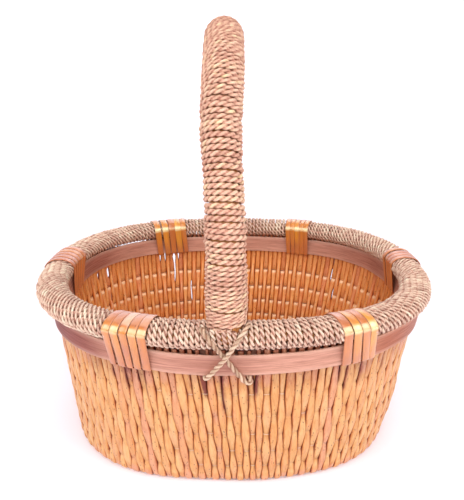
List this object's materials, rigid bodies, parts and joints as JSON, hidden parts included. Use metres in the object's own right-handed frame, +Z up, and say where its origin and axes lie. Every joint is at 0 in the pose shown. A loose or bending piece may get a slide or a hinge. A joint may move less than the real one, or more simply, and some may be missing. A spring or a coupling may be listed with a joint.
{
  "type": "egg collection basket",
  "caption": "Oval willow gathering basket with twined upright rods, flat wood bands, a seagrass-wound rim tied on with cane strips and a fixed rope-wound hoop handle.",
  "frame": {"origin": "centre of the footprint, on the surface the basket stands on", "axes": "+Z up, X along the long side of the oval, Y along the short side and along the handle hoop, -Y is the side seen in front"},
  "size_m": [0.4028, 0.3338, 0.4116],
  "materials": {
    "willow": "peeled, satin",
    "splint": "matt, fine grain",
    "rim_seagrass": "dry twisted cord",
    "handle_rope": "dry twisted rope",
    "cane": "glossy cane skin",
    "pole": "smooth",
    "twine": "dry twine",
    "lashing_cord": "dry twisted cord"
  },
  "bodies": {
    "root": {"base_mat": "willow", "cane_binding_back_left": "cane", "cane_binding_back_right": "cane", "cane_binding_front_left": "cane", "cane_binding_front_right": "cane", "cane_binding_left": "cane", "cane_binding_right": "cane", "handle_core": "pole", "handle_wrap": "handle_rope", "inner_band": "splint", "lashing_back_over": "lashing_cord", "lashing_back_under": "lashing_cord", "lashing_front_over": "lashing_cord", "lashing_front_under": "lashing_cord", "outer_band": "splint", "rim_hoop": "pole", "rim_wrap_back_left": "rim_seagrass", "rim_wrap_back_right": "rim_seagrass", "rim_wrap_front_left": "rim_seagrass", "rim_wrap_front_right": "rim_seagrass", "rim_wrap_left_back": "rim_seagrass", "rim_wrap_left_front": "rim_seagrass", "rim_wrap_right_back": "rim_seagrass", "rim_wrap_right_front": "rim_seagrass", "twine_row_1": "twine", "twine_row_2": "twine", "twine_row_3": "twine", "twine_row_4": "twine", "twine_row_5": "twine", "wall_rods_back": "willow", "wall_rods_back_left": "willow", "wall_rods_back_right": "willow", "wall_rods_front": "willow", "wall_rods_front_left": "willow", "wall_rods_front_right": "willow", "wall_rods_left": "willow", "wall_rods_left_back": "willow", "wall_rods_left_front": "willow", "wall_rods_right": "willow", "wall_rods_right_back": "willow", "wall_rods_right_front": "willow"}
  },
  "joints": []
}
